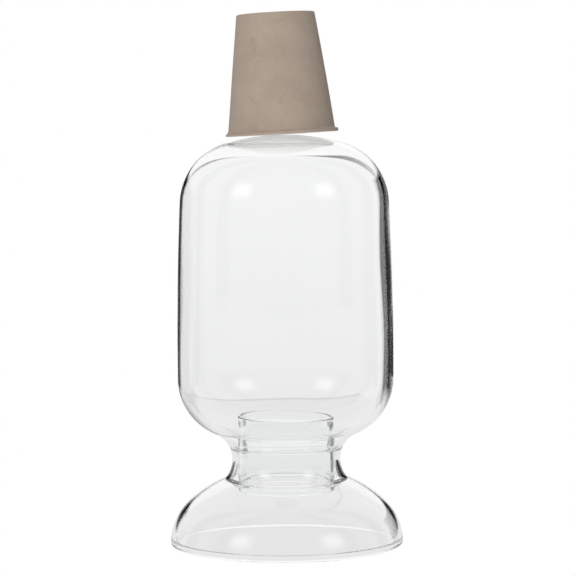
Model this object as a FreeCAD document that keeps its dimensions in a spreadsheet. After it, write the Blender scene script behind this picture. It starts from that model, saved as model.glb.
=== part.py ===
"""Wasp trap: a blown glass vessel that stands on a flared foot, and its rubber stopper.

The vessel is three pieces of glass fused together: a closed bulb (the bait and
catching chamber), a bell-shaped foot, and a straight entry tube. The tube runs
through the waist where the other two meet, and is sealed to each of them by a
ring of glass, with a closed air gap round it in between. It stands up inside the
chamber, so liquid bait lies in the ring-shaped moat around it, and wasps that
crawl up under the foot come through the tube and can't find the way back.

The stopper closes the tube from below when bait is poured in or out. Here it is
laid, wide end down, on the top of the dome.

Millimetres, +Z up. The origin is on the axis of the vessel, in the plane that
the rim of the foot stands on.
"""
import FreeCAD, Part
import math
import os

import Sketcher

DIMENSIONS = {
    # The vessel as a whole
    "vessel_height": 175.7,
    "glass_wall": 1.7,
    "joint_height": 28.4,
    "seal_radius": 1.3,
    "seal_bite": 1.04,
    "seal_bottom": 41.5,
    "collar_diameter": 47.2,
    "collar_bottom": 25.2,
    "collar_rounding": 0.6,
    # Chamber: crown, shoulder, slightly barrelled wall, heel, floor and waist
    "crown_radius": 94.4,
    "shoulder_radius": 27.4,
    "barrel_radius": 1325,
    "barrel_height": 81.8,
    "chamber_diameter": 92.8,
    "heel_radius": 25.3,
    "floor_angle": 25.8,
    "waist_radius": 12.6,
    "waist_diameter": 46.4,
    "waist_height": 36.5,
    # Foot: crown, skirt and thickened rim
    "foot_diameter": 100,
    "foot_crown_radius": 56,
    "skirt_radius": 26.7,
    "skirt_drop": 0.7,
    "rim_height": 3,
    "rim_width": 3,
    "rim_rounding": 1.1,
    # Entry tube
    "tube_diameter": 41.2,
    "tube_wall": 1.4,
    "tube_bottom": 22.6,
    "tube_length": 32,
    "tube_rounding": 0.6,
    # Stopper
    "stopper_height": 51.3,
    "stopper_narrow_diameter": 33.3,
    "stopper_wide_diameter": 46.1,
    "lip_diameter": 48.4,
    "lip_thickness": 1.6,
    "lip_root_radius": 0.9,
    "lip_rounding": 0.5,
    "stopper_top_rounding": 0.7,
    "stopper_tilt": 2.75,
    "stopper_shift": 0.7,
    "stopper_gap": 0.2,
}

DIAMETER_TOLERANCE = 0.01

doc = FreeCAD.newDocument("wasp_trap")
sheet = doc.addObject("Spreadsheet::Sheet", "sizes")
for row, (alias, value) in enumerate(DIMENSIONS.items(), start=1):
    sheet.set(f"A{row}", alias)
    sheet.set(f"B{row}", str(value))
    sheet.setAlias(f"B{row}", alias)
doc.recompute()


class HalfSection:
    """A closed outline beside a body's axis, drawn edge by edge from a point on the axis.

    Arcs are drawn the way the outline runs, clockwise or counter-clockwise, and each
    edge starts where the one before it ends. Starting positions are approximate: the
    constraints, bound to the sheet, settle the shape.
    """

    ORIGIN = (-1, 1)
    AXIS = -2
    START, END, CENTRE = 1, 2, 3

    def __init__(self, body, name):
        self.sketch = body.newObject("Sketcher::SketchObject", name)
        self.sketch.AttachmentSupport = (origin_plane(body, "XZ_Plane"), [""])
        self.sketch.MapMode = "FlatFace"
        self.head = None
        self.first = None

    def line(self, begin, finish, tangent=False):
        """Add a line and return its index."""
        segment = Part.LineSegment(FreeCAD.Vector(*begin, 0), FreeCAD.Vector(*finish, 0))
        edge = self.sketch.addGeometry(segment, False)
        self._join(edge, self.START, self.END, tangent)
        return edge

    def arc(self, centre, radius, begin_angle, finish_angle, tangent=True):
        """Add an arc that runs from one angle to the other, in degrees; return its index."""
        clockwise = finish_angle < begin_angle
        low, high = sorted((begin_angle, finish_angle))
        circle = Part.Circle(FreeCAD.Vector(*centre, 0), FreeCAD.Vector(0, 0, 1), radius)
        span = Part.ArcOfCircle(circle, math.radians(low), math.radians(high))
        edge = self.sketch.addGeometry(span, False)
        begin, finish = (self.END, self.START) if clockwise else (self.START, self.END)
        self._join(edge, begin, finish, tangent)
        return edge

    def _join(self, edge, begin, finish, tangent):
        if self.head is None:
            self.first = (edge, begin)
        else:
            kind = "Tangent" if tangent else "Coincident"
            self.sketch.addConstraint(Sketcher.Constraint(kind, *self.head, edge, begin))
        self.head = (edge, finish)

    def size(self, kind, places, expression):
        """Add a dimension and bind it to an expression over the sheet."""
        value = evaluate(self.sketch, expression)
        if kind == "Angle":
            value = math.radians(value)
        index = self.sketch.addConstraint(Sketcher.Constraint(kind, *places, value))
        self.sketch.setExpression(f"Constraints[{index}]", expression)

    def radius(self, edge, expression):
        self.size("Radius", (edge,), expression)

    def across(self, point, expression):
        """Distance of a point from the axis."""
        self.size("DistanceX", (*self.ORIGIN, *point), expression)

    def up(self, point, expression):
        """Height of a point above the rest plane."""
        self.size("DistanceY", (*self.ORIGIN, *point), expression)

    def measure(self, kind, point, name):
        """Add a named reference dimension, for expressions in other sketches to read."""
        doc.recompute()
        index = self.sketch.addConstraint(Sketcher.Constraint(kind, *self.ORIGIN, *point, 1))
        self.sketch.setDriving(index, False)
        self.sketch.renameConstraint(index, name)
        doc.recompute()

    def level(self, edge):
        self.sketch.addConstraint(Sketcher.Constraint("Horizontal", edge))

    def upright(self, edge):
        self.sketch.addConstraint(Sketcher.Constraint("Vertical", edge))

    def on_axis(self, point):
        self.sketch.addConstraint(Sketcher.Constraint("PointOnObject", *point, self.AXIS))

    def close(self, height):
        """Go level to the axis at a height, then along it back to the first point."""
        corner = self.sketch.getPoint(*self.head)
        to_axis = self.line((corner.x, corner.y), (0, height))
        self.level(to_axis)
        self.on_axis((to_axis, self.END))
        top = self.sketch.getPoint(*self.first)
        self.line((0, height), (top.x, top.y))
        self.sketch.addConstraint(Sketcher.Constraint("Coincident", *self.head, *self.first))


def evaluate(owner, expression):
    """The number that an expression over the sheet gives now."""
    return float(owner.evalExpression(expression))


def number(alias):
    """A driving dimension, for the starting position of an edge."""
    return float(sheet.get(alias))


def origin_plane(body, role):
    return next(plane for plane in body.Origin.OriginFeatures if plane.Role == role)


def new_body(label):
    body = doc.addObject("PartDesign::Body", label)
    body.Label = label
    return body


def spin(body, section, kind, name):
    """Turn a half-section once round the axis, as a Revolution or a Groove."""
    feature = body.newObject(f"PartDesign::{kind}", name)
    feature.Profile = (section.sketch, [""])
    feature.ReferenceAxis = (section.sketch, ["V_Axis"])
    feature.Angle = 360
    doc.recompute()
    return feature


def ring_edges(shape, diameter, height):
    """The names of the circular edges of one diameter at one height."""
    names = []
    for index, edge in enumerate(shape.Edges, start=1):
        if not isinstance(edge.Curve, Part.Circle):
            continue
        same_size = abs(2 * edge.Curve.Radius - diameter) < DIAMETER_TOLERANCE
        same_height = abs(edge.Curve.Center.z - height) < DIAMETER_TOLERANCE
        if same_size and same_height:
            names.append(f"Edge{index}")
    return names


def round_rings(body, base, name, rings, radius):
    """Fillet the circular edges named by (diameter, height) pairs."""
    edges = []
    for diameter, height in rings:
        found = ring_edges(base.Shape, evaluate(sheet, diameter), evaluate(sheet, height))
        if not found:
            raise RuntimeError(f"{name}: no edge of diameter {diameter} at height {height}")
        edges += found
    fillet = body.newObject("PartDesign::Fillet", name)
    fillet.Base = (base, edges)
    fillet.setExpression("Radius", radius)
    doc.recompute()
    return fillet


def bulb_outline(body, name, inset, waist_end):
    """The chamber from the top of the crown down into the waist, inset from its outside.

    Returns the half-section and its waist arc, whose lower end is still free and
    starts out at the angle waist_end.
    """
    section = HalfSection(body, name)
    depth = evaluate(body, inset)
    crown_centre = (0, number("vessel_height") - number("crown_radius"))
    widest = number("chamber_diameter") / 2
    barrel_centre = (widest - number("barrel_radius"), number("barrel_height"))
    shoulder_centre = (0.37 * widest, number("vessel_height") - 1.1 * number("shoulder_radius"))
    heel_centre = (widest - number("heel_radius"), number("barrel_height") - 10)
    waist_centre = (number("waist_diameter") / 2 + number("waist_radius"), number("waist_height"))

    crown = section.arc(crown_centre, number("crown_radius") - depth, 90, 75)
    shoulder = section.arc(shoulder_centre, number("shoulder_radius") - depth, 75, 3)
    barrel = section.arc(barrel_centre, number("barrel_radius") - depth, 3, -0.5)
    heel = section.arc(heel_centre, number("heel_radius") - depth, -0.5, -64)
    floor_outer = (widest - 14, number("barrel_height") - 33 + depth)
    floor_inner = (widest - 16, number("barrel_height") - 34 + depth)
    floor = section.line(floor_outer, floor_inner, tangent=True)
    waist = section.arc(waist_centre, number("waist_radius") + depth, 116, waist_end)

    section.on_axis((crown, section.CENTRE))
    section.on_axis((crown, section.END))
    section.up((crown, section.CENTRE), "sizes.vessel_height - sizes.crown_radius")
    section.radius(crown, f"sizes.crown_radius - {inset}")
    section.radius(shoulder, f"sizes.shoulder_radius - {inset}")
    section.radius(barrel, f"sizes.barrel_radius - {inset}")
    section.across((barrel, section.CENTRE), "sizes.chamber_diameter / 2 - sizes.barrel_radius")
    section.up((barrel, section.CENTRE), "sizes.barrel_height")
    section.radius(heel, f"sizes.heel_radius - {inset}")
    section.size("Angle", (floor,), "180 + sizes.floor_angle")
    section.radius(waist, f"sizes.waist_radius + {inset}")
    section.across((waist, section.CENTRE), "sizes.waist_diameter / 2 + sizes.waist_radius")
    section.up((waist, section.CENTRE), "sizes.waist_height")
    return section, waist


def make_chamber():
    """The blown bulb: a closed dome above, open below where the tube fills the waist."""
    body = new_body("chamber")
    joint = number("joint_height")
    tube = number("tube_diameter") / 2

    outside, waist = bulb_outline(body, "chamber_outside", "0", 220)
    outside.up((waist, HalfSection.END), "sizes.joint_height")
    outside.close(joint)
    outside.measure("DistanceX", (waist, HalfSection.END), "neck_foot")
    spin(body, outside, "Revolution", "chamber_form")

    cavity, waist = bulb_outline(body, "chamber_cavity", "sizes.glass_wall", 153)
    seal = cavity.arc((tube + number("seal_bite"), joint + 15), number("seal_radius"), 330, 220)
    bore = cavity.line((tube, joint + 14), (tube, joint))
    cavity.radius(seal, "sizes.seal_radius")
    cavity.across((seal, HalfSection.CENTRE), "sizes.tube_diameter / 2 + sizes.seal_bite")
    cavity.across((seal, HalfSection.START), "sizes.tube_diameter / 2")
    cavity.upright(bore)
    cavity.up((bore, HalfSection.END), "sizes.joint_height")
    cavity.close(joint)
    spin(body, cavity, "Groove", "chamber_hollow")

    waist_centre = (number("waist_diameter") / 2 + number("waist_radius"), number("waist_height"))
    gap = HalfSection(body, "air_gap")
    top = gap.line((0, number("seal_bottom")), (tube + 1.8, number("seal_bottom")))
    waist = gap.arc(waist_centre, number("waist_radius") + number("glass_wall"), 159, 214, False)
    gap.on_axis((top, HalfSection.START))
    gap.level(top)
    gap.up((top, HalfSection.START), "sizes.seal_bottom")
    gap.radius(waist, "sizes.waist_radius + sizes.glass_wall")
    gap.across((waist, HalfSection.CENTRE), "sizes.waist_diameter / 2 + sizes.waist_radius")
    gap.up((waist, HalfSection.CENTRE), "sizes.waist_height")
    gap.up((waist, HalfSection.END), "sizes.joint_height")
    gap.close(joint)
    spin(body, gap, "Groove", "gap_round_tube")
    return body


def foot_shell(section, inset, land):
    """The foot's crown and skirt, inset from its outside, below a land at a given height."""
    depth = evaluate(section.sketch, inset)
    crown_centre = (5, number("joint_height") - 0.93 * number("foot_crown_radius"))
    skirt_centre = (number("foot_diameter") / 2 - number("skirt_radius"), -number("skirt_drop"))
    crown = section.arc(crown_centre, number("foot_crown_radius") - depth, 68, 51, tangent=False)
    skirt = section.arc(skirt_centre, number("skirt_radius") - depth, 51, 8)
    section.up((crown, HalfSection.END), land)
    section.radius(crown, f"sizes.foot_crown_radius - {inset}")
    section.radius(skirt, f"sizes.skirt_radius - {inset}")
    section.up((skirt, HalfSection.CENTRE), "-sizes.skirt_drop")
    section.up((skirt, HalfSection.START), "sizes.rim_height")
    return crown, skirt


def make_foot():
    """The bell-shaped foot: a land and collar under the waist, a skirt and a thickened rim."""
    body = new_body("foot")
    joint = number("joint_height")
    rim = number("rim_height")
    radius = number("foot_diameter") / 2
    tube = number("tube_diameter") / 2

    outside = HalfSection(body, "foot_outside")
    land = outside.line((0, joint), (26, joint))
    outside.on_axis((land, HalfSection.START))
    outside.level(land)
    crown, skirt = foot_shell(outside, "0", "sizes.joint_height")
    outside.across((land, HalfSection.END), "chamber_outside.Constraints.neck_foot")
    outside.across((skirt, HalfSection.START), "sizes.foot_diameter / 2")
    edge = outside.line((radius, rim), (radius, 0))
    outside.upright(edge)
    outside.up((edge, HalfSection.END), "0")
    outside.close(0)
    outside.measure("DistanceX", (crown, HalfSection.CENTRE), "crown_across")
    outside.measure("DistanceX", (skirt, HalfSection.CENTRE), "skirt_across")
    spin(body, outside, "Revolution", "foot_form")

    hollow = HalfSection(body, "foot_cavity")
    top = hollow.line((0, joint), (tube, joint))
    bore = hollow.line((tube, joint), (tube, joint - 2))
    collar = hollow.line((tube, joint - 3), (tube + 3, joint - 3))
    collar_side = hollow.line((tube + 3, joint - 3), (tube + 3, joint - 1.7))
    land = hollow.line((tube + 3, joint - 1.7), (25, joint - 1.7))
    crown, skirt = foot_shell(hollow, "sizes.glass_wall", "sizes.joint_height - sizes.glass_wall")
    shelf = hollow.line((radius - 2, rim), (radius - number("rim_width"), rim))
    edge = hollow.line((radius - number("rim_width"), rim), (radius - number("rim_width"), 0))
    hollow.on_axis((top, HalfSection.START))
    hollow.level(top)
    hollow.up((top, HalfSection.START), "sizes.joint_height")
    hollow.across((top, HalfSection.END), "sizes.tube_diameter / 2")
    hollow.upright(bore)
    hollow.level(collar)
    hollow.across((collar, HalfSection.END), "sizes.collar_diameter / 2")
    hollow.up((collar, HalfSection.END), "sizes.collar_bottom")
    hollow.upright(collar_side)
    hollow.level(land)
    hollow.across((crown, HalfSection.CENTRE), "foot_outside.Constraints.crown_across")
    hollow.across((skirt, HalfSection.CENTRE), "foot_outside.Constraints.skirt_across")
    hollow.level(shelf)
    hollow.across((shelf, HalfSection.END), "sizes.foot_diameter / 2 - sizes.rim_width")
    hollow.upright(edge)
    hollow.up((edge, HalfSection.END), "0")
    hollow.close(0)
    groove = spin(body, hollow, "Groove", "foot_hollow")

    inner = "foot_diameter - 2 * rim_width"
    rings = [("foot_diameter", "0"), (inner, "0"), (inner, "rim_height")]
    rounded = round_rings(body, groove, "fire_polished_rim", rings, "sizes.rim_rounding")
    rings = [("collar_diameter", "collar_bottom"), ("collar_diameter", "joint_height - glass_wall")]
    round_rings(body, rounded, "melted_collar", rings, "sizes.collar_rounding")
    return body


def make_entry_tube():
    """The straight tube from inside the foot, through the waist, into the chamber."""
    body = new_body("entry_tube")
    sketch = body.newObject("Sketcher::SketchObject", "tube_section")
    sketch.AttachmentSupport = (origin_plane(body, "XY_Plane"), [""])
    sketch.MapMode = "FlatFace"
    sketch.setExpression("AttachmentOffset.Base.z", "sizes.tube_bottom")
    bore = "sizes.tube_diameter - 2 * sizes.tube_wall"
    for diameter in ("sizes.tube_diameter", bore):
        radius = evaluate(sketch, diameter) / 2
        ring = Part.Circle(FreeCAD.Vector(0, 0, 0), FreeCAD.Vector(0, 0, 1), radius)
        edge = sketch.addGeometry(ring, False)
        centre = (edge, HalfSection.CENTRE, *HalfSection.ORIGIN)
        sketch.addConstraint(Sketcher.Constraint("Coincident", *centre))
        index = sketch.addConstraint(Sketcher.Constraint("Diameter", edge, 2 * radius))
        sketch.setExpression(f"Constraints[{index}]", diameter)
    pad = body.newObject("PartDesign::Pad", "tube_length")
    pad.Profile = (sketch, [""])
    pad.setExpression("Length", "sizes.tube_length")
    doc.recompute()

    rings = [(f"tube_diameter{inset}", height)
             for inset in ("", " - 2 * tube_wall")
             for height in ("tube_bottom", "tube_bottom + tube_length")]
    round_rings(body, pad, "fire_polished_ends", rings, "sizes.tube_rounding")
    return body


def make_stopper():
    """The tapered rubber bung with a thin lip round its wide end, laid on the dome."""
    body = new_body("stopper")
    wide = number("stopper_wide_diameter") / 2
    narrow = number("stopper_narrow_diameter") / 2
    lip = number("lip_diameter") / 2
    thick = number("lip_thickness")
    tall = number("stopper_height")

    outline = HalfSection(body, "stopper_outside")
    top = outline.line((0, tall), (narrow, tall))
    taper = outline.line((narrow, tall), (wide, thick))
    shelf = outline.line((wide, thick), (lip, thick))
    edge = outline.line((lip, thick), (lip, 0))
    outline.on_axis((top, HalfSection.START))
    outline.level(top)
    outline.up((top, HalfSection.START), "sizes.stopper_height")
    outline.across((top, HalfSection.END), "sizes.stopper_narrow_diameter / 2")
    outline.across((taper, HalfSection.END), "sizes.stopper_wide_diameter / 2")
    outline.up((taper, HalfSection.END), "sizes.lip_thickness")
    outline.level(shelf)
    outline.across((shelf, HalfSection.END), "sizes.lip_diameter / 2")
    outline.upright(edge)
    outline.up((edge, HalfSection.END), "0")
    outline.close(0)
    cone = spin(body, outline, "Revolution", "stopper_form")

    root = [("stopper_wide_diameter", "lip_thickness")]
    filleted = round_rings(body, cone, "lip_root", root, "sizes.lip_root_radius")
    lip_rings = [("lip_diameter", "lip_thickness"), ("lip_diameter", "0")]
    rounded = round_rings(body, filleted, "lip_edges", lip_rings, "sizes.lip_rounding")
    top_ring = [("stopper_narrow_diameter", "stopper_height")]
    round_rings(body, rounded, "stopper_top_edge", top_ring, "sizes.stopper_top_rounding")

    # The flat wide end rests on the crown's sphere, so its plane is one crown radius
    # (and the gap) from the sphere's centre, measured square to the tilted face.
    dome_centre = "sizes.vessel_height - sizes.crown_radius"
    reach = "(sizes.crown_radius + sizes.stopper_gap) / cos(sizes.stopper_tilt * 1 deg)"
    drop = "sizes.stopper_shift * tan(sizes.stopper_tilt * 1 deg)"
    lean = FreeCAD.Rotation(FreeCAD.Vector(0, -1, 0), 1)
    body.Placement = FreeCAD.Placement(FreeCAD.Vector(), lean)
    body.setExpression("Placement.Rotation.Angle", "sizes.stopper_tilt")
    body.setExpression("Placement.Base.x", "-sizes.stopper_shift")
    body.setExpression("Placement.Base.z", f"{dome_centre} + {reach} - {drop}")
    doc.recompute()
    return body


def check_model(pieces):
    """Stop if any object of the document failed or any piece isn't one sound solid."""
    for item in doc.Objects:
        if "Invalid" in item.State or "Error" in item.State:
            raise RuntimeError(f"{item.Name} failed: {item.State}")
    for piece in pieces:
        shape = piece.Shape
        if shape.isNull() or not shape.isValid() or len(shape.Solids) != 1:
            raise RuntimeError(f"{piece.Label} isn't one valid solid")


pieces = [make_chamber(), make_foot(), make_entry_tube(), make_stopper()]
doc.recompute()
check_model(pieces)

os.makedirs("parts", exist_ok=True)
for piece in pieces:
    piece.Shape.exportStep(f"parts/{piece.Label}.step")
    print(f"{piece.Label}: {piece.Shape.Volume:.0f} mm3")
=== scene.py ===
import math

import bpy
import numpy as np
from mathutils import Matrix, Vector


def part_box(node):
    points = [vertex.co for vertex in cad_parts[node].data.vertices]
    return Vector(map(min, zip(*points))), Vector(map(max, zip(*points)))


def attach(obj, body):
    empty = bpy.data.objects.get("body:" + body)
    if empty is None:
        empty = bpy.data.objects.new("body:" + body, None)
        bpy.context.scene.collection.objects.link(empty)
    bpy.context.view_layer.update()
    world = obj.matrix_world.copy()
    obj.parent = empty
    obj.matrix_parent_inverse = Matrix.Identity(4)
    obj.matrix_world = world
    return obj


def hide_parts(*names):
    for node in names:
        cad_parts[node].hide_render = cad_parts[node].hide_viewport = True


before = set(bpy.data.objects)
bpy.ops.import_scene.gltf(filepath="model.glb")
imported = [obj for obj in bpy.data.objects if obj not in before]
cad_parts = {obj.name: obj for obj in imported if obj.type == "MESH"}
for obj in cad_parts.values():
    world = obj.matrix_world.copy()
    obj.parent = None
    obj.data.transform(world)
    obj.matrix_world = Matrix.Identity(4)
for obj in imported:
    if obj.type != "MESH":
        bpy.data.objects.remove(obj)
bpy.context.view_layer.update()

# A hand-blown glass wasp trap with its rubber stopper lying on the dome. The three pieces of
# glass and the stopper are lathed again from the outlines of their CAD nodes, finely enough for
# refraction, with the unevenness of blown glass and moulded rubber added.

MM = 0.001
NEAR = 1e-6                   # two lengths closer than this are the same, in metres


# ------------------------------------------------------------------------- outlines from the frame
# Each CAD node is a solid of revolution whose mesh has a row of edges along one meridian.
# Its corners lie exactly on the true outline, so smooth curves through them give it back.

def meridian(verts, edges):
    """The outline (r, z) of a lathed mesh, walked along its meridian from the top of the axis,
    or all the way round if it never meets the axis."""
    on = (abs(verts[:, 1]) < NEAR) & (verts[:, 0] > -NEAR)
    keys = [tuple(k) for k in np.round(verts[:, [0, 2]], 7) + 0.0]
    links = {}
    for i, j in edges:
        if on[i] and on[j] and keys[i] != keys[j]:
            links.setdefault(keys[i], set()).add(keys[j])
            links.setdefault(keys[j], set()).add(keys[i])
    ends = [k for k, near_by in links.items() if len(near_by) == 1]
    start = max(ends or links, key=lambda k: (k[1], k[0]))
    path, before = [start], None
    while True:
        onward = [k for k in links[path[-1]] if k != before]
        if not ends and before is None:
            onward = [max(onward)]
        if not onward or onward[0] == start:
            break
        before = path[-1]
        path.append(onward[0])
    if not ends:
        return np.array(path + [start])
    return np.array(on_axis(path[0]) + path + on_axis(path[-1]))


def on_axis(end):
    """The middle of the flat face that an outline's end is the edge of: nothing if it has none."""
    return [(0.0, end[1])] if end[0] > NEAR else []


def turns(path):
    """How far an outline turns at each of its inner points, in degrees."""
    steps = np.diff(path, axis=0)
    heading = np.arctan2(steps[:, 1], steps[:, 0])
    return np.degrees((np.diff(heading) + math.pi) % (2 * math.pi) - math.pi)


def split_at_corners(path, sharpest=15):
    """Cut an outline into smooth stretches wherever it turns by more than sharpest degrees."""
    corners = [i + 1 for i, turn in enumerate(turns(path)) if abs(turn) > sharpest]
    cuts = [0] + corners + [len(path) - 1]
    return [path[a:b + 1] for a, b in zip(cuts, cuts[1:])]


def curvature(a, b, c):
    """Signed curvature of the circle through three points."""
    ab, bc, ac = b - a, c - b, c - a
    cross = ab[0] * bc[1] - ab[1] * bc[0]
    return 2 * cross / (np.linalg.norm(ab) * np.linalg.norm(bc) * np.linalg.norm(ac))


def turned(vector, angle):
    cos, sin = math.cos(angle), math.sin(angle)
    return np.array([cos * vector[0] - sin * vector[1], sin * vector[0] + cos * vector[1]])


def tangents(points):
    """Unit tangents at the points of a stretch of arcs and lines. Each is the end tangent of a
    circle through the point and its two neighbours on one side, whichever side is one arc."""
    last = len(points) - 1
    bend = {i: curvature(*points[i - 1:i + 2]) for i in range(1, last)}
    found = []
    for i in range(last + 1):
        choices = []
        if i - 1 in bend:
            change = abs(bend[i - 1] - bend.get(i - 2, bend.get(i, 0)))
            choices.append((change, bend[i - 1], points[i] - points[i - 1], 1))
        if i + 1 in bend:
            change = abs(bend[i + 1] - bend.get(i + 2, bend.get(i, 0)))
            choices.append((change, bend[i + 1], points[i + 1] - points[i], -1))
        if not choices:
            k = min(i, last - 1)
            choices.append((0, bend.get(i, 0), points[k + 1] - points[k], 1 if i > k else -1))
        _, curve, chord, side = min(choices, key=lambda choice: choice[0])
        length = np.linalg.norm(chord)
        half_turn = math.asin(max(-1, min(1, curve * length / 2)))
        found.append(turned(chord / length, side * half_turn))
    return found


def smoothed(points, turn_step=2.0, longest=2.5 * MM):
    """Fill a stretch in with Hermite curves, finely enough that no facet shows."""
    slopes = tangents(points)
    out = [points[0]]
    for a, b, leave, arrive in zip(points, points[1:], slopes, slopes[1:]):
        length = np.linalg.norm(b - a)
        turn = math.degrees(math.acos(max(-1, min(1, float(leave @ arrive)))))
        pieces = max(1, math.ceil(turn / turn_step), math.ceil(length / longest))
        reach = length / math.cos(math.radians(turn) / 4) ** 2
        for k in range(1, pieces + 1):
            s = k / pieces
            from_a, from_b = 2 * s**3 - 3 * s**2 + 1, 3 * s**2 - 2 * s**3
            lean_a, lean_b = s**3 - 2 * s**2 + s, s**3 - s**2
            out.append(from_a * a + from_b * b + reach * (lean_a * leave + lean_b * arrive))
    return np.array(out)


def outline(node, to_local=Matrix.Identity(4)):
    """The corner-to-corner stretches of a node's outline, as arrays of (r, z)."""
    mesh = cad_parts[node].data
    verts = np.array([to_local @ v.co for v in mesh.vertices])
    edges = np.array([e.vertices[:] for e in mesh.edges])
    return split_at_corners(meridian(verts, edges))


def on_side(point, a, b):
    """Whether a point lies on the straight side of an outline from a to b."""
    along, reach = b - a, point - a
    length = np.linalg.norm(along)
    beside = abs(along[0] * reach[1] - along[1] * reach[0]) / length
    return beside < NEAR and -NEAR < reach @ along / length < length + NEAR


# --------------------------------------------------------------------------- lathing
AROUND = 240                  # facets round the axis of each lathed piece


def lathe(name, stretches, place, seam=None):
    """Turn an outline once round the axis into a closed mesh, its faces pointing outwards.

    stretches are arrays of (r, z) that follow one another, from pole to pole or round to the
    start. place(r, z, angle, number) gives a point's x, y, z, where number is its stretch's.
    Faces whose middle is at a seam(r, z) get the second material.
    """
    rings = [(*stretches[0][0], 0)]
    for number, stretch in enumerate(stretches):
        rings += [(r, z, number) for r, z in stretch[1:]]
    round_trip = np.allclose(rings[0][:2], rings[-1][:2])
    if round_trip:
        rings.pop()
    verts, firsts = [], []
    for r, z, number in rings:
        firsts.append(len(verts))
        spokes = 1 if r < NEAR else AROUND
        verts += [place(r, z, 2 * math.pi * k / AROUND, number) for k in range(spokes)]
    faces, slots = [], []
    pairs = zip(range(len(rings)), list(range(1, len(rings))) + ([0] if round_trip else []))
    for i, j in pairs:
        a, b = firsts[i], firsts[j]
        middle = (rings[i][0] + rings[j][0]) / 2, (rings[i][1] + rings[j][1]) / 2
        slot = 1 if seam and seam(*middle) else 0
        for k in range(AROUND):
            m = (k + 1) % AROUND
            if rings[i][0] < NEAR:
                faces.append((a, b + k, b + m))
            elif rings[j][0] < NEAR:
                faces.append((a + k, b, a + m))
            else:
                faces.append((a + k, b + k, b + m, a + m))
            slots.append(slot)
    mesh = bpy.data.meshes.new(name)
    mesh.from_pydata(verts, [], faces)
    mesh.polygons.foreach_set("material_index", slots)
    mesh.polygons.foreach_set("use_smooth", [True] * len(faces))
    mesh.update()
    mesh.set_sharp_from_angle(angle=math.radians(12))
    piece = bpy.data.objects.new(name, mesh)
    bpy.context.collection.objects.link(piece)
    return piece


def ring_point(r, z, angle):
    return r * math.cos(angle), r * math.sin(angle), z


# --------------------------------------------------------------------------- nodes
class Formula:
    """Writes sums as Math nodes in one node tree."""

    def __init__(self, tree):
        self.tree = tree

    def node(self, kind, **settings):
        node = self.tree.nodes.new(kind)
        for name, value in settings.items():
            setattr(node, name, value)
        return node

    def feed(self, socket, value):
        if isinstance(value, bpy.types.NodeSocket):
            self.tree.links.new(value, socket)
        else:
            socket.default_value = value

    def math(self, operation, *values):
        node = self.node("ShaderNodeMath", operation=operation)
        for socket, value in zip(node.inputs, values):
            self.feed(socket, value)
        return node.outputs[0]

    def ramp(self, value, start, end, low=0.0, high=1.0):
        """From low to high as value goes from start to end, eased at both ends."""
        node = self.node("ShaderNodeMapRange", interpolation_type="SMOOTHSTEP")
        ends = {"From Min": start, "From Max": end, "To Min": low, "To Max": high}
        for name, number in ends.items():
            node.inputs[name].default_value = number
        self.feed(node.inputs["Value"], value)
        return node.outputs["Result"]

    def within(self, value, centre, half, soft):
        """1 where value is less than half away from centre, fading to 0 over soft."""
        away = self.math("ABSOLUTE", self.math("SUBTRACT", value, centre))
        return self.ramp(away, half, half + soft, 1.0, 0.0)

    def pick(self, amount, first, second):
        """first where amount is 0, second where it is 1."""
        node = self.node("ShaderNodeMix", data_type="FLOAT")
        for place, value in ((0, amount), (2, first), (3, second)):
            self.feed(node.inputs[place], value)
        return node.outputs[0]

    def noise(self, vector, scale, detail=2.0, roughness=0.5, distortion=0.0):
        """Noise from 0 to 1 with scale waves to the metre."""
        node = self.node("ShaderNodeTexNoise")
        self.feed(node.inputs["Vector"], vector)
        looks = {"Scale": scale, "Detail": detail, "Roughness": roughness, "Distortion": distortion}
        for name, number in looks.items():
            node.inputs[name].default_value = number
        return node.outputs["Fac"]

    def blend(self, amount, first, second):
        """The first colour where amount is 0, the second where it is 1."""
        node = self.node("ShaderNodeMix", data_type="RGBA")
        self.feed(node.inputs[0], amount)
        self.feed(node.inputs[6], first)
        self.feed(node.inputs[7], second)
        return node.outputs[2]


def new_material(name):
    """A material with one Principled shader, and the Formula that writes its nodes."""
    material = bpy.data.materials.new(name)
    material.use_nodes = True
    return material, material.node_tree.nodes["Principled BSDF"], Formula(material.node_tree)


# --------------------------------------------------------------------------- glass
GLASS_IOR = 1.47              # borosilicate
GLASS_TINT = 0.995, 1.0, 0.998, 1
THIN_SIDE = 0.55 * MM         # how far the chamber's inside sits off centre, towards -X
RIPPLE = 0.06 * MM            # height of the slow waves in the blown wall


def glass_material():
    """Clear glass with slow, faint unevenness."""
    material, shader, formula = new_material("blown_glass")
    shader.inputs["Base Color"].default_value = GLASS_TINT
    shader.inputs["Transmission Weight"].default_value = 1.0
    shader.inputs["IOR"].default_value = GLASS_IOR
    shader.inputs["Roughness"].default_value = 0.0
    where = formula.node("ShaderNodeTexCoord").outputs["Object"]
    bump = formula.node("ShaderNodeBump")
    bump.inputs["Strength"].default_value = 0.03
    bump.inputs["Distance"].default_value = 1 * MM
    formula.feed(bump.inputs["Height"], formula.noise(where, 45, detail=1.0))
    formula.feed(shader.inputs["Normal"], bump.outputs["Normal"])
    return material


def seam_material():
    """The faces where two pieces of glass are fused. Nothing shows there."""
    material, shader, _ = new_material("fused_glass")
    shader.inputs["Alpha"].default_value = 0.0
    return material


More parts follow.
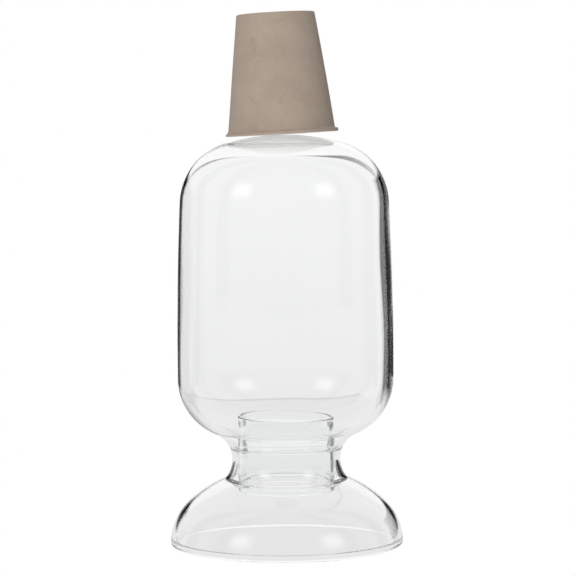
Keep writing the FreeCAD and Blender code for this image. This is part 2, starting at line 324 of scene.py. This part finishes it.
class Seams:
    """Where the pieces of glass are fused: where their outlines run along one another."""

    def __init__(self, outlines):
        self.outlines = outlines

    def sides_beyond(self, node):
        """The sides of every outline but the node's own."""
        stretches = [s for other, found in self.outlines.items() if other != node for s in found]
        return [side for stretch in stretches for side in zip(stretch, stretch[1:])]

    def split(self, node, stretch):
        """The same stretch, with a point wherever a seam begins or ends on it."""
        ends = [end for side in self.sides_beyond(node) for end in side]
        out = [stretch[0]]
        for a, b in zip(stretch, stretch[1:]):
            on_it = [end for end in ends if on_side(end, a, b) and np.linalg.norm(end - b) > NEAR]
            for end in sorted(on_it, key=lambda end: np.linalg.norm(end - a)):
                if np.linalg.norm(end - out[-1]) > NEAR:
                    out.append(end)
            out.append(b)
        return np.array(out)

    def test_for(self, node):
        """A test that tells whether a point (r, z) of the node's outline is on a seam."""
        sides = self.sides_beyond(node)
        return lambda r, z: any(on_side(np.array([r, z]), *side) for side in sides)


def make_glass(clear, fused):
    """The three pieces of glass. Only the chamber's inside is uneven."""
    outlines = {node: outline(node) for node in ("chamber", "foot", "entry_tube")}
    seams = Seams(outlines)
    inside = len(outlines["chamber"]) - 1            # the chamber's last stretch is its inner skin
    low, high = outlines["chamber"][inside][0][1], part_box("chamber")[1][2]

    def place_chamber(r, z, angle, number):
        x, y, z = ring_point(r, z, angle)
        if number != inside:
            return x, y, z
        depth = (z - low) / (high - low)
        fade = max(0.0, min(1.0, 6 * (depth - 0.05)))
        fade = fade * fade * (3 - 2 * fade)
        wave = math.sin(2 * angle + 9 * depth) + 0.6 * math.sin(5 * angle - 13 * depth + 1)
        out = fade * RIPPLE * wave * r / (r + 5 * MM)
        return x + out * math.cos(angle) - fade * THIN_SIDE, y + out * math.sin(angle), z

    def place_plain(r, z, angle, number):
        return ring_point(r, z, angle)

    for node, stretches in outlines.items():
        place = place_chamber if node == "chamber" else place_plain
        fine = [smoothed(seams.split(node, stretch)) for stretch in stretches]
        piece = lathe(node + "_glass", fine, place, seams.test_for(node))
        piece.data.materials.append(clear)
        piece.data.materials.append(fused)
        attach(piece, "vessel")
        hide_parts(node)
        piece.visible_diffuse = piece.visible_shadow = False     # light for the rubber goes through


# --------------------------------------------------------------------------- stopper
# The rubber's colours, as linear red, green, blue and alpha.
DULL = 0.4, 0.32, 0.26, 1
FRESH = 0.438, 0.359, 0.295, 1
STAIN = 0.308, 0.241, 0.196, 1
SPECK = 0.351, 0.28, 0.226, 1
# The underside's pale colour is painted sheen: it stands in for the bright table below shining on the
# smooth base.
UNDERSIDE_PAINTED_SHEEN = 0.6, 0.59, 0.57, 1


def rubber_material():
    """Matte grey-beige rubber with faint stains and specks; smoother underneath, and paler there with
    a painted sheen that stands in for the bright table's light on the base.
    """
    material, shader, formula = new_material("moulded_rubber")
    where = formula.node("ShaderNodeTexCoord").outputs["Object"]
    patches = formula.noise(where, 70, detail=4.0, roughness=0.6, distortion=0.3)
    stains = formula.noise(where, 210, detail=3.0, roughness=0.55, distortion=0.8)
    grain = formula.noise(where, 1100, detail=2.0, roughness=0.6)
    colour = formula.blend(formula.ramp(patches, 0.32, 0.68), DULL, FRESH)
    colour = formula.blend(formula.ramp(stains, 0.56, 0.74, 0.0, 0.35), colour, STAIN)
    colour = formula.blend(formula.ramp(grain, 0.35, 0.65, 0.0, 0.25), colour, SPECK)
    facing = formula.node("ShaderNodeSeparateXYZ")
    formula.feed(facing.inputs[0], formula.node("ShaderNodeNewGeometry").outputs["Normal"])
    # Faces that look down are smoother, and paler in colour: a painted sheen for the table's light on
    # the base.
    smooth_and_painted_sheen_under = formula.ramp(facing.outputs[2], -0.9, -0.97)
    colour = formula.blend(smooth_and_painted_sheen_under, colour, UNDERSIDE_PAINTED_SHEEN)
    formula.feed(shader.inputs["Base Color"], colour)
    matte = formula.ramp(patches, 0.3, 0.7, 0.5, 0.62)
    formula.feed(shader.inputs["Roughness"], formula.pick(smooth_and_painted_sheen_under, matte, 0.2))
    shader.inputs["Specular IOR Level"].default_value = 0.4
    bump = formula.node("ShaderNodeBump")
    bump.inputs["Strength"].default_value = 0.15
    bump.inputs["Distance"].default_value = 0.3 * MM
    height = formula.math("ADD", grain, formula.math("MULTIPLY", stains, 2.0))
    formula.feed(bump.inputs["Height"], height)
    formula.feed(shader.inputs["Normal"], bump.outputs["Normal"])
    return material


LIP_TOP = 1.7 * MM             # nothing above this is part of the stopper's lip
WOBBLE = 0.09 * MM             # height of the unevenness of its side
DRAWN_IN = 0.45 * MM           # how far its right side is drawn in at the lip


def stopper_axes():
    """The matrix to the part's frame from the stopper's own: base on z = 0 and axis up."""
    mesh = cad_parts["stopper"].data
    widest = max(mesh.polygons, key=lambda face: face.area)
    base = [face for face in mesh.polygons if face.normal.dot(widest.normal) > 0.99999]
    total = sum(face.area for face in base)
    centre = sum((face.center * face.area for face in base), Vector()) / total
    turn = Vector((0, 0, 1)).rotation_difference(-widest.normal)
    return Matrix.Translation(centre) @ turn.to_matrix().to_4x4()


def make_stopper(rubber):
    to_part = stopper_axes()
    stretches = outline("stopper", to_part.inverted())
    body = max(r for stretch in stretches for r, z in stretch if z > LIP_TOP)
    tall = max(z for stretch in stretches for r, z in stretch)

    def place(r, z, angle, number):
        """A worn stopper: not quite round, its lip thinner on the left and longer on the right."""
        height, side = z / tall, math.cos(angle)
        out = WOBBLE * (math.sin(3 * angle + 5 * height) + 0.7 * math.sin(5 * angle - 8 * height + 2))
        out -= DRAWN_IN * max(0.0, side) * math.exp(-((height / 0.3) ** 2))
        if r > body and z < LIP_TOP:
            reach = (r - body) / MM
            out += reach * (0.3 if side > 0 else 0.1) * side * MM
            z *= 0.86 + 0.14 * side
        z += 0.5 * WOBBLE * height ** 4 * math.sin(2 * angle + 1) * r / body
        return to_part @ Vector(ring_point(r + out * r / (r + 2 * MM), z, angle))

    piece = lathe("stopper_rubber", [smoothed(s) for s in stretches], place)
    piece.data.materials.append(rubber)
    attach(piece, "stopper")
    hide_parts("stopper")


# --------------------------------------------------------------------------- stage, light and camera
def make_sheet(name, corners, brightness, seen_by):
    """A level sheet that glows evenly and shows only to the kinds of rays in seen_by."""
    material = bpy.data.materials.new(name)
    material.use_nodes = True
    formula = Formula(material.node_tree)
    material.node_tree.nodes.clear()
    glow = formula.node("ShaderNodeEmission")
    glow.inputs["Strength"].default_value = brightness
    formula.feed(formula.node("ShaderNodeOutputMaterial").inputs["Surface"], glow.outputs[0])
    mesh = bpy.data.meshes.new(name)
    mesh.from_pydata(corners, [], [range(len(corners))])
    mesh.materials.append(material)
    sheet = bpy.data.objects.new(name, mesh)
    bpy.context.collection.objects.link(sheet)
    for rays in ("camera", "diffuse", "glossy", "transmission", "volume_scatter", "shadow"):
        setattr(sheet, "visible_" + rays, rays in seen_by)


TABLE = 0.8                   # how brightly the table and the floor past it glow
TABLE_EDGE_SHADE = 0.7                     # the same, of the painted shade line along the table's far edge
TABLE_EDGE_SHADE_WIDTH = 0.018


def make_floor():
    """White all over to the camera; to the glass, a table that ends behind the vessel, with a dimmer
    strip of painted shade along its far edge.
    """
    make_sheet("floor", [(-6, -6, 0), (6, -6, 0), (6, 6, 0), (-6, 6, 0)], 1.0, ("camera",))
    front = [(-2, -2, 0), (2, -2, 0)]
    right = [(2, 0.15, 0), (0.16, 0.15, 0)]
    back_right, back_left = (0.075, 0.555, 0), (-0.075, 0.355, 0)
    left = [(-0.2, 0.15, 0), (-2, 0.15, 0)]
    through_glass = ("glossy", "transmission")
    make_sheet("table", front + right + [back_right, back_left] + left, TABLE, through_glass)
    # A dimmer strip just past the table's far edge: a painted shade line there.
    edge_shade = [(x, y + TABLE_EDGE_SHADE_WIDTH, z) for x, y, z in (back_right, back_left)]
    make_sheet("table_edge_painted_shade", [back_left, back_right] + edge_shade, TABLE_EDGE_SHADE, through_glass)


# Directions in the studio, in degrees: how far round from straight behind, and how far up.
CARD = -10.5, 12.0            # the sides of the white card behind
DARK = -26.0, 44.0            # how far the darkness beside it reaches
DARK_BELOW = -14.0, -8.0      # where the darkness begins, above the floor behind
CARD_TOP = 4.2                # the card's top, where the bright ceiling begins
SOFTBOXES = 130.0, 26.0       # two softboxes in front, one on either side
BLACK = 0.03                  # how bright the darkness is


class Studio:
    """The light of a photographer's studio, as sums of a ray's direction."""

    def __init__(self, formula):
        self.formula = formula
        direction = formula.node("ShaderNodeSeparateXYZ")
        formula.feed(direction.inputs[0], formula.node("ShaderNodeTexCoord").outputs["Generated"])
        x, y, z = direction.outputs
        self.round = formula.math("MULTIPLY", formula.math("ARCTAN2", x, y), math.degrees(1))
        self.aside = formula.math("ABSOLUTE", self.round)
        self.up = formula.math("MULTIPLY", formula.math("ARCSINE", z), math.degrees(1))

    def between(self, sides, soft):
        """1 between two directions round, fading to 0 over soft degrees outside them."""
        left, right = sides
        return self.formula.within(self.round, (left + right) / 2, (right - left) / 2, soft)

    def behind(self):
        """The card, the darkness beside it, and the ceiling that comes down to its top."""
        formula = self.formula
        card = self.between(CARD, 2)
        backdrop = formula.pick(card, BLACK, formula.ramp(self.up, -7, -1, 0.85, 0.93))
        over_card = formula.math("SUBTRACT", self.up, CARD_TOP)
        over_card = formula.math("MULTIPLY_ADD", self.aside, 0.05, over_card)
        backdrop = formula.math("MULTIPLY", backdrop, formula.ramp(over_card, 0, 0.4, 1, BLACK))
        ceiling = formula.math("SUBTRACT", self.up, CARD_TOP - 0.4)
        ceiling = formula.math("MULTIPLY_ADD", self.aside, -0.27, ceiling)
        return formula.math("MAXIMUM", backdrop, formula.ramp(ceiling, 0, 0.5))

    def room(self):
        """The walls, dimmer in front and with two soft bands on either side, and the floor."""
        formula = self.formula
        walls = formula.ramp(self.aside, 60, 110, 0.95, 0.62)
        wide, narrow = formula.within(self.aside, 90, 26, 6), formula.within(self.aside, 90, 10, 5)
        bands = formula.math("SUBTRACT", wide, narrow)
        walls = formula.math("MULTIPLY", walls, formula.ramp(bands, 0, 1, 1, 0.6))
        return formula.pick(formula.ramp(self.up, -16, -10), TABLE, walls)

    def seen(self):
        """What the glass mirrors and what shows through it."""
        formula = self.formula
        dark = formula.math("MULTIPLY", self.between(DARK, 10), formula.ramp(self.up, *DARK_BELOW))
        light = formula.pick(dark, self.room(), self.behind())
        aside, height = SOFTBOXES
        across = formula.within(self.aside, aside, 3, 16)
        softboxes = formula.math("MULTIPLY", across, formula.within(self.up, height, 2, 17))
        return formula.math("MULTIPLY_ADD", softboxes, 1.6, light)

    def ambient(self):
        """What lights the rubber: soft light all round, and the white table straight below."""
        formula = self.formula
        all_round = formula.ramp(self.up, -10, 10, 0.45, 0.3)
        return formula.math("ADD", all_round, formula.ramp(self.up, -70, -40, 1.4, 0.0))


def make_sky():
    """White to the camera, and a studio to everything else."""
    world = bpy.data.worlds.new("studio")
    bpy.context.scene.world = world
    world.use_nodes = True
    formula = Formula(world.node_tree)
    studio = Studio(formula)
    rays = formula.node("ShaderNodeLightPath").outputs
    lights_rubber = formula.math("GREATER_THAN", rays["Diffuse Depth"], 0.5)
    light = formula.pick(lights_rubber, studio.seen(), studio.ambient())
    background = world.node_tree.nodes["Background"]
    background.inputs["Color"].default_value = (1, 1, 1, 1)
    formula.feed(background.inputs["Strength"], formula.pick(rays["Is Camera Ray"], light, 1.0))


def make_key():
    """A round softbox, high at the left, that lights the stopper and doesn't show in the glass."""
    place, target = Vector((-0.36, -1.2, 0.6)), Vector((0, 0, 0.2))
    data = bpy.data.lights.new("key", "AREA")
    data.shape = "DISK"
    data.size = 0.5
    data.energy = 10
    data.color = (1.0, 0.97, 0.93)
    light = bpy.data.objects.new("key", data)
    light.location = place
    light.rotation_euler = (target - place).to_track_quat("-Z", "Y").to_euler()
    light.visible_glossy = False
    light.visible_transmission = False
    light.visible_camera = False
    bpy.context.collection.objects.link(light)


def make_camera():
    """Level with the dome, a metre away, looking a little down."""
    distance, pitch, roll = 1.02864, math.radians(3.8), math.radians(-0.45)
    aim = Vector((1.29 * MM, 0, 110.1 * MM))
    data = bpy.data.cameras.new("camera")
    data.lens, data.sensor_width = 150, 36
    data.clip_start, data.clip_end = 0.05, 50
    camera = bpy.data.objects.new("camera", data)
    away = Vector((0, -math.cos(pitch), math.sin(pitch)))
    look = (-away).to_track_quat("-Z", "Y").to_matrix().to_4x4()
    place = Matrix.Translation(aim + distance * away)
    camera.matrix_world = place @ look @ Matrix.Rotation(roll, 4, "Z")
    bpy.context.collection.objects.link(camera)
    bpy.context.scene.camera = camera


# --------------------------------------------------------------------------- build
def build():
    make_glass(glass_material(), seam_material())
    make_stopper(rubber_material())
    make_floor()
    make_sky()
    make_key()
    make_camera()
    scene = bpy.context.scene
    scene.view_settings.view_transform = "Standard"
    scene.cycles.caustics_refractive = True
    scene.cycles.caustics_reflective = True
    scene.cycles.max_bounces = 24
    scene.cycles.transmission_bounces = 24
    scene.cycles.glossy_bounces = 12
    scene.cycles.transparent_max_bounces = 24


build()
